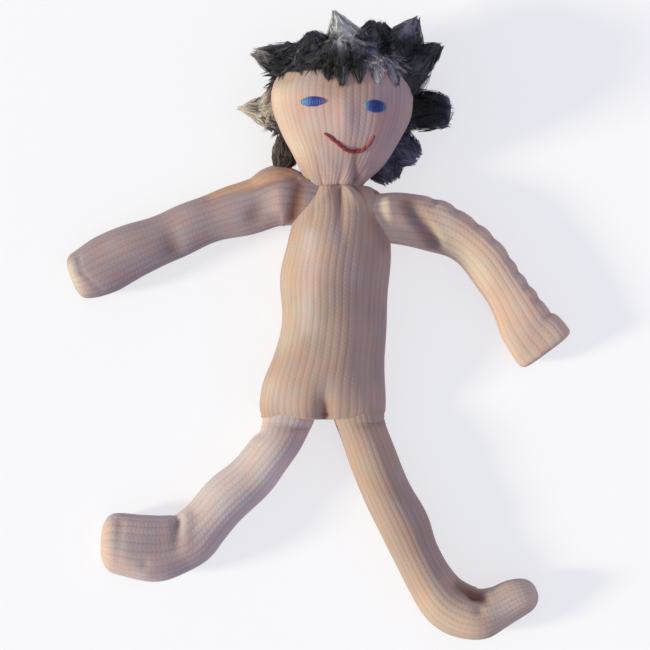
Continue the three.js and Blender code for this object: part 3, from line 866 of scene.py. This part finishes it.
def thread_finish(name):
    """Stranded embroidery cotton: softly glossy, with fine plies."""
    finish = Finish(name, Roughness=0.5, Sheen_Weight=0.15, Specular_IOR_Level=0.4)
    place = finish.place()
    plies = finish.noise(finish.stretched(place, (1.0, 0.25, 1.0)), 4200.0, 2.0)
    finish.feed("Base Color", finish.shade(finish.tone(), 0.75 + plies * 0.5))
    finish.bump(plies, 0.00006)
    return finish.material


# Head

HEAD_TUBE = StuffedTube(HEAD, HEAD_ENDS, level_for=1e6, crest=0.1)


def head_form(at):
    nose = NOSE.height * bell(at.x - NOSE.x, NOSE.half_width) * bell(at.y - NOSE.y, NOSE.half_length)
    cheeks = 0.5 * (bell(at.x + 2.5, 5) + bell(at.x - 20, 5)) * bell(at.y - 68, 6)
    return at.front * (nose + cheeks) + 0.22 * lumps(at.x, at.y, 17, 1)


def head_detail(at):
    fade = np.clip(1 - (at.y - NECK_Y) / GATHERS.chin_length, 0, 1) ** 1.3
    return GATHERS.chin_depth * fade * pleats(at.turn, GATHERS.count) + folds(at, HEAD_FOLDS)


def face_height(x, y):
    return HEAD_TUBE.height_over(x, y, lambda at: head_form(at) + head_detail(at))


# Torso

TORSO_TUBE = StuffedTube(TORSO, TORSO_ENDS, level_for=1e6, crest=-0.05, roof=1.2)


def torso_form(at):
    """The low fold between the legs, and uneven stuffing."""
    opening = smoothstep(-at.y, CROTCH.top, -HEM_Y) ** 1.5
    between = CROTCH.depth * opening * bell(at.x - CROTCH.x, CROTCH.half_width)
    return 0.4 * lumps(at.x, at.y, 22, 2) - between


def torso_detail(at):
    fade = np.clip(1 - (NECK_Y - at.y) / GATHERS.chest_length, 0, 1) ** 1.2
    hem = -0.5 * bell(at.y - (HEM_Y + 1.8), 0.5)
    gathered = GATHERS.chest_depth * fade * pleats(at.turn, GATHERS.count)
    return gathered + hem + folds(at, TORSO_FOLDS)


# Limbs

ARM_RIGHT_TUBE = StuffedTube(ARM_RIGHT, ARM_RIGHT_ENDS, zero=1)
ARM_LEFT_TUBE = StuffedTube(ARM_LEFT, ARM_LEFT_ENDS, zero=1, crest=0.42)
LEG_RIGHT_TUBE = StuffedTube(LEG_RIGHT, LEG_ENDS, level_for=4.0, zero=1, crest=0.2)
LEG_LEFT_TUBE = StuffedTube(LEG_LEFT, LEG_ENDS, level_for=4.0, zero=1)


def limb_form(seed):
    return lambda at: 0.35 * lumps(at.x, at.y, 19, seed)


def arm_right_detail(at):
    return folds(at, ARM_RIGHT_FOLDS)


def arm_left_detail(at):
    """Each whipped stitch pulls a short dimple into the outer half of the arm's upper side."""
    outward = -np.cos(at.turn)
    edge = smoothstep(outward, 0.05, 0.75) * (1 - 0.5 * smoothstep(outward, 0.8, 1.0))
    knots = sum(bell(at.along - place, PUCKERS.half_length) for place in PUCKERS.places)
    return folds(at, ARM_LEFT_FOLDS) - PUCKERS.depth * edge * knots


def leg_right_detail(at):
    return folds(at, LEG_RIGHT_FOLDS)


def leg_left_detail(at):
    return folds(at, LEG_LEFT_FOLDS)


# Embroidery

def strand(path, radius, sides=10, twist=0.0, plies=3):
    """A thread along path (n, 3): rings square to the path, as thick as radius at each point, with
    plies that wind round it by twist radians from point to point."""
    ahead = unit(np.gradient(path, axis=0))
    side = unit(np.cross(UP, ahead))
    over = np.cross(ahead, side)
    turn = np.arange(sides) * 2 * np.pi / sides
    wound = 1 + 0.16 * np.cos(plies * (turn[None, :] - twist * np.arange(len(path))[:, None]))
    reach = (np.broadcast_to(radius, len(path))[:, None] * wound)[..., None]
    rings = path[:, None] + reach * (
        np.cos(turn)[None, :, None] * side[:, None] + np.sin(turn)[None, :, None] * over[:, None]
    )
    return closed_surface(rings, path[0], path[-1])


def satin_eye(name, eye, thread):
    """An eye: satin stitches side by side, each an arch of thread across the almond, in tones that
    run from one corner of the eye to the other."""
    t = np.linspace(-1, 1, 13)
    shells, tones = [], []
    shades = np.array(eye.threads)
    pitch = 2 * eye.half_length / SATIN_STITCHES
    for number in range(SATIN_STITCHES):
        along = (number + 0.5) * pitch - eye.half_length
        reach = eye.half_height * (1 - (along / eye.half_length) ** 2) ** 0.55
        across = t * reach
        lean = along + 0.10 * across + 0.10 * np.sin(3.1 * number)
        x = eye.x + lean * np.cos(eye.tilt) - across * np.sin(eye.tilt)
        y = eye.y + lean * np.sin(eye.tilt) + across * np.cos(eye.tilt)
        arch = 0.35 + 0.5 * (1 - t ** 2) * (1 - 0.5 * (along / eye.half_length) ** 2)
        z = face_height(x, y) + arch - 0.5 * np.abs(t) ** 6
        taper = 1 - 0.5 * np.abs(t) ** 5
        shells.append(strand(np.stack([x, y, z], -1), 0.56 * pitch * taper, sides=8))
        spot = (len(shades) - 1) * number / (SATIN_STITCHES - 1)
        tone = [np.interp(spot, range(len(shades)), shades[:, channel]) for channel in range(3)]
        tones.append(np.tile(tone, (len(shells[-1][0]), 1)))
    piece = make_piece(name + "_stitches", joined(shells), np.vstack(tones), thread)
    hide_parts(name)
    return piece


def smile(thread):
    """The mouth: stem stitches, each of which starts beside the middle of the one before."""
    guide = np.array([(x, y, 0.0) for x, y in SMILE])
    shells = []
    for number in range(SMILE_STITCHES):
        span = (number + np.array([-0.25, 1.35])) / SMILE_STITCHES
        share = np.linspace(max(span[0], 0), min(span[1], 1), 17)
        line = curve_through(guide, share * (len(SMILE) - 1))
        ahead = unit(np.gradient(line, axis=0))
        side = np.cross(UP, ahead)
        slip = np.linspace(-0.3, 0.3, len(share))[:, None]
        line = line + side * slip
        arch = np.sin(np.linspace(0, np.pi, len(share)))
        line[:, 2] = face_height(line[:, 0], line[:, 1]) + 0.25 + 0.45 * arch
        middle = 1 - 0.35 * abs(2 * (number + 0.5) / SMILE_STITCHES - 1) ** 2
        radius = SMILE_RADIUS * middle * (0.35 + 0.65 * arch ** 0.4)
        shells.append(strand(line, radius, sides=12, twist=0.35))
    shape = joined(shells)
    tones = np.tile(DARK_RED, (len(shape[0]), 1))
    piece = make_piece("mouth_stitches", shape, tones, thread)
    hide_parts("mouth")
    return piece


# Fur

def fur_tone(places):
    """The fur's colour by where it grows: charcoal with soft-edged patches."""
    tone = np.tile(CHARCOAL, (len(places), 1))
    for x, y, half_width, half_length, colour in FUR_PATCHES:
        reach = np.hypot((places[:, 0] - x) / half_width, (places[:, 1] - y) / half_length)
        cover = 1 - smoothstep(reach, 0.7, 1.2)
        tone = blend(tone, np.array(colour), cover[:, None])
    return tone


def hairs(name, stations, radii, tones, material):
    """Many hairs in one piece. stations is (hairs, 4, 3): each hair is a closed three-sided
    spindle through its four stations, blunt at the root and pointed at the tip. Its tone is
    darkened towards the root, painted shade deep in the fur."""
    count = len(stations)
    ahead = unit(stations[:, 3] - stations[:, 0])
    side = unit(np.cross(ahead, UP + 0.01 * ACROSS))
    over = np.cross(ahead, side)
    turn = np.arange(3) * 2 * np.pi / 3
    spoke = np.cos(turn)[:, None] * side[:, None] + np.sin(turn)[:, None] * over[:, None]
    taper = np.array([0.9, 1.0, 0.75])
    reach = radii[:, None, None, None] * taper[None, :, None, None]
    rings = stations[:, :3, None] + reach * spoke[:, None]
    points = np.concatenate([rings.reshape(count, 9, 3), stations[:, 3:]], 1)
    faces = [(0, 2, 1)]
    for low in (0, 3):
        for k in range(3):
            a, b = low + k, low + (k + 1) % 3
            faces += [(a, b, b + 3), (a, b + 3, a + 3)]
    faces += [(6 + k, 6 + (k + 1) % 3, 9) for k in range(3)]
    faces = (np.arange(count)[:, None, None] * 10 + np.array(faces)).reshape(-1, 3)
    # Painted shade: each hair darker towards its root
    depth = np.repeat([0.65, 0.9, 1.05, 1.1], [3, 3, 3, 1])
    colours = (tones[:, None] * depth[None, :, None]).reshape(-1, 3)
    shape = points.reshape(-1, 3), np.zeros((0, 4), int), faces
    return make_piece(name, shape, colours, material)


def lock_point(lock, t, angle, reach):
    """A place in a tapering lock: t of the way along its path, at an angle round it and a share,
    reach, of the way out to its surface."""
    last = len(lock.path) - 1
    spots = np.clip(t, 0, 1) * last
    middle = curve_through(lock.path, spots)
    ahead = unit(
        curve_through(lock.path, np.minimum(spots + 0.02, last))
        - curve_through(lock.path, np.maximum(spots - 0.02, 0))
    )
    side = unit(np.cross(UP, ahead))
    over = np.cross(ahead, side)
    taper = (1 - np.clip(t, 0, 0.97)) ** lock.point
    wide = (reach * taper * lock.half_width * np.cos(angle))[..., None]
    high = (reach * taper * lock.half_height * np.sin(angle))[..., None]
    beyond = np.maximum(t - 1, 0)[..., None] * np.linalg.norm(lock.path[-1] - lock.path[0])
    return middle + wide * side + high * over + beyond * ahead


def lock_core(lock):
    """The dense inside of a lock, a closed lump a little smaller than its hairs reach."""
    t, angle = np.broadcast_arrays(
        1 - (1 - np.linspace(0.02, 1, 15)[:, None]) ** 1.6, np.arange(20)[None, :] * 2 * np.pi / 20
    )
    rings = lock_point(lock, 0.96 * t, angle, 0.8 + 0.08 * np.cos(4 * angle))
    rings[..., 2] = np.maximum(rings[..., 2], 0.2)
    return closed_surface(rings, rings[0].mean(0), rings[-1].mean(0))


def fringe_lock(x, y, half_width):
    """A lock of the fringe lies along the brow from the crown to its tip."""
    root_x = blend(HEAD[0][0], x, FRINGE_SPREAD)
    t = np.linspace(0, 1, 4)
    px, py = blend(root_x, x, t), blend(FRINGE_ROOT_Y, y, t)
    path = np.stack([px, py, face_height(px, py) + FRINGE_LIFT], -1)
    return SimpleNamespace(path=path, half_width=half_width, half_height=2.4, point=0.5)


def wisp_tones(rng, places):
    """One tone for each wisp: the patch that it grows in, mottled lighter and darker."""
    mottle = lumps(places[:, 0] + places[:, 2], places[:, 1], 5.5, 7)
    light = np.exp(0.22 * mottle + rng.normal(0, 0.22, len(places)))
    return fur_tone(places + rng.normal(0, 0.5, places.shape)) * light[:, None]


def lock_hairs(rng, lock, wisps, length):
    """Hairs of one lock, in wisps. Each wisp starts somewhere on the lock and runs towards its
    tip, and its hairs draw together on the way."""
    size = np.linalg.norm(lock.path[-1] - lock.path[0])
    start = rng.uniform(0.0, 0.78, wisps) ** 0.9
    angle = rng.uniform(0, 2 * np.pi, wisps)
    reach = rng.uniform(0.6, 0.98, wisps)
    run = rng.uniform(0.6, 1.2, wisps) * length / size
    curl = rng.normal(0, 0.45, wisps)
    places = lock_point(lock, np.minimum(start + 0.5 * run, 1.0), angle, reach)
    tones = wisp_tones(rng, places)

    def each(values):
        return np.repeat(values, HAIRS_PER_WISP)[:, None]

    count = wisps * HAIRS_PER_WISP
    s = np.linspace(0, 1, 4)[None, :]
    gather = 1 - 0.5 * s
    spread = 0.9 / lock.half_width
    t = each(start) + each(run) * s * rng.uniform(0.8, 1.15, (count, 1))
    t = np.minimum(t, 1.0 + rng.uniform(0, 1.0, (count, 1)) / size)
    turn = each(angle) + each(curl) * s ** 2 + rng.normal(0, spread, (count, 1)) * gather
    out = each(reach) + rng.normal(0, 0.08, (count, 1)) * gather + 0.08 * s * rng.random((count, 1))
    stations = lock_point(lock, t, turn, out)
    stations[..., 2] = np.maximum(stations[..., 2], 0.25)
    shade = rng.uniform(0.85, 1.15, (count, 1))
    return stations, np.repeat(tones, HAIRS_PER_WISP, 0) * shade


def hairline(turn):
    """The hairline's place along Y, high over the face and low behind."""
    behind = smoothstep(-np.sin(turn), 0.05, 0.5)
    return blend(PELT.front_line, PELT.back_line, behind)


def pelt_hairs(rng, wisps):
    """Hairs of the pelt. Each wisp starts on the skull, flows away from a whorl behind the crown
    and lifts a little."""
    turn = rng.uniform(0, 2 * np.pi, wisps * 3)
    along = 46 * rng.uniform(0, 1, wisps * 3) ** 0.8
    middle, half_width, half_height, side = HEAD_TUBE.ring(along)
    kept = np.flatnonzero((middle[:, 1] > hairline(turn)) & (middle[:, 1] > PELT.back_line))[:wisps]
    turn, along, middle, half_width, half_height, side = (
        part[kept] for part in (turn, along, middle, half_width, half_height, side)
    )
    full = HEAD_TUBE.fullness(along)
    wide = (HEAD_TUBE.aside(turn) * half_width * full)[:, None]
    high = (HEAD_TUBE.above(turn) * half_height * full)[:, None]
    roots = middle + wide * side + high * UP
    offset = roots - np.array([8.2, 78.1, 21.0])
    offset[:, 1] = np.maximum(offset[:, 1], 0)
    outward = unit(offset / np.array([24.4, 20.5, 18.6]) ** 2)
    away = roots - np.array([8.0, 99.0, 12.0])
    flow = unit(away - (away * outward).sum(-1, keepdims=True) * outward)
    flow = unit(flow + rng.normal(0, 0.4, flow.shape))
    sideways = unit(np.cross(outward, flow))
    reach = rng.uniform(3.2, 6.2, (len(roots), 1))
    lift = rng.uniform(0.8, PELT.reach - 0.6, (len(roots), 1))
    tones = wisp_tones(rng, roots + 0.5 * flow * reach)

    def each(values):
        return np.repeat(values, HAIRS_PER_WISP, 0)[:, None]

    count = len(roots) * HAIRS_PER_WISP
    s = np.linspace(0, 1, 4)[None, :, None]
    gather = 1 - 0.5 * s
    aside = rng.normal(0, 0.5, (count, 1, 1)) * gather
    deep = rng.uniform(-0.3, 0.5, (count, 1, 1)) * gather
    longer = rng.uniform(0.8, 1.15, (count, 1, 1))
    stations = (
        each(roots)
        + each(flow) * each(reach) * longer * s
        + each(outward) * (0.4 + each(lift) * (s * (1.6 - 0.6 * s)) + deep)
        + each(sideways) * aside
    )
    stations[..., 2] = np.maximum(stations[..., 2], 0.25)
    return stations, np.repeat(tones, HAIRS_PER_WISP, 0) * rng.uniform(0.85, 1.15, (count, 1))


def pelt_shell():
    """The dense inside of the pelt: the skull swollen by the pelt's thickness where it is worn,
    and sunk below the skin over the face."""
    along, full = HEAD_TUBE.rows(1.2)
    turns = np.arange(96) * 2 * np.pi / 96
    at = HEAD_TUBE.places(*np.broadcast_arrays(along[:, None], turns[None, :]))
    line = hairline(at.turn)
    cover = smoothstep(at.middle[..., 1], line - PELT.edge / 2, line + PELT.edge / 2)
    rings = HEAD_TUBE.skin(at, blend(PELT.buried, PELT.thickness, cover), full[:, None])
    return closed_surface(rings, rings[0].mean(0), rings[-1].mean(0))


def wig(fur):
    """The wig: a dense backing that fills the pelt and every lock, and the hairs that cover it."""
    rng = np.random.default_rng(20)
    fringe = [fringe_lock(*lock) for lock in FRINGE]
    shape = joined([pelt_shell()] + [lock_core(lock) for lock in TUFTS + fringe])
    # Painted shade: the backing wears the fur's tones darkened, as shade between the hairs
    backing = make_piece("hair_backing", shape, 0.75 * fur_tone(shape[0]), fur)
    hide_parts("hair")

    def coat(name, grown):
        stations = np.vstack([part[0] for part in grown])
        tones = np.vstack([part[1] for part in grown])
        radii = HAIR_RADIUS * rng.uniform(0.7, 1.3, len(stations))
        piece = hairs(name, stations, radii, tones, fur)
        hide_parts("hair")

    coat("hair_tufts", [lock_hairs(rng, lock, 150, 5.5) for lock in TUFTS])
    coat("hair_fringe", [lock_hairs(rng, lock, 80, 4.5) for lock in fringe])
    coat("hair_pelt", [pelt_hairs(rng, 1600)])


# The stage

def sun(name, strength, colour, azimuth, elevation, softness):
    """A sun that stands at an azimuth, counted from -X towards -Y, and an elevation."""
    light = bpy.data.lights.new(name, "SUN")
    light.energy = strength
    light.color = colour
    light.angle = np.radians(softness)
    lamp = bpy.data.objects.new(name, light)
    lamp.rotation_euler = (0, np.radians(elevation - 90), np.radians(azimuth))
    bpy.context.scene.collection.objects.link(lamp)


def make_stage():
    """A pale floor, which throws no light back on the doll, a low warm key light from the doll's
    right, a faint blue one from its left, and a cool sky."""
    reach = 3.0
    corners = [(-reach, -reach, 0), (reach, -reach, 0), (reach, reach, 0), (-reach, reach, 0)]
    mesh = bpy.data.meshes.new("floor")
    mesh.from_pydata(corners, [], [(0, 1, 2, 3)])
    floor = bpy.data.objects.new("floor", mesh)
    floor.location.z = -0.00005
    floor.visible_diffuse = False
    bpy.context.scene.collection.objects.link(floor)
    pale = Finish("pale_floor", Roughness=0.9)
    pale.feed("Base Color", (0.5, 0.5, 0.5))
    pale.feed("Emission Color", (1.0, 1.0, 1.0))
    pale.feed("Emission Strength", 0.62)
    mesh.materials.append(pale.material)

    sun("key", 2.5, (1.0, 0.95, 0.72), azimuth=10, elevation=20, softness=10)
    sun("rim", 0.25, (0.65, 0.65, 1.0), azimuth=180, elevation=25, softness=60)

    world = bpy.data.worlds.new("sky")
    world.use_nodes = True
    sky = world.node_tree.nodes["Background"]
    sky.inputs["Color"].default_value = (0.74, 0.76, 1.0, 1.0)
    sky.inputs["Strength"].default_value = 0.46
    bpy.context.scene.world = world


def make_camera():
    """The camera looks straight down on the doll."""
    data = bpy.data.cameras.new("camera")
    data.lens = 135
    data.sensor_width = 36
    camera = bpy.data.objects.new("camera", data)
    camera.location = (0.0023, 0.0012, 0.865)
    bpy.context.scene.collection.objects.link(camera)
    bpy.context.scene.camera = camera


make_camera()
make_stage()
bpy.context.scene.view_settings.view_transform = "Standard"

knit = ribbed_knit()
fur = fur_finish()
stuffed_piece("head", HEAD_TUBE, 62, head_form, head_detail, knit, PINK_TAN, HEAD_STAINS_AND_PAINTED_LIGHT)
stuffed_piece("torso", TORSO_TUBE, 46, torso_form, torso_detail, knit, TAN, TORSO_PAINTED_LIGHT)
stuffed_piece(
    "arm_right", ARM_RIGHT_TUBE, 24, limb_form(3), arm_right_detail, knit, MAUVE, ARM_RIGHT_STAINS_AND_PAINTED_LIGHT
)
# The left arm's creases and stitch dimples darken towards purple, painted shade.
stuffed_piece(
    "arm_left", ARM_LEFT_TUBE, 24, limb_form(4), arm_left_detail, knit, PEACH, ARM_LEFT_PAINTED_LIGHT, PURPLE
)
stuffed_piece(
    "leg_right", LEG_RIGHT_TUBE, 26, limb_form(5), leg_right_detail, knit, PALE_PINK, LEG_RIGHT_PAINTED_LIGHT
)
stuffed_piece(
    "leg_left", LEG_LEFT_TUBE, 26, limb_form(6), leg_left_detail, knit, TAN, LEG_LEFT_STAINS_AND_PAINTED_LIGHT
)
for eye_name, eye in EYES.items():
    satin_eye(eye_name, eye, thread_finish(eye_name + "_thread"))
smile(thread_finish("mouth_thread"))
wig(fur)
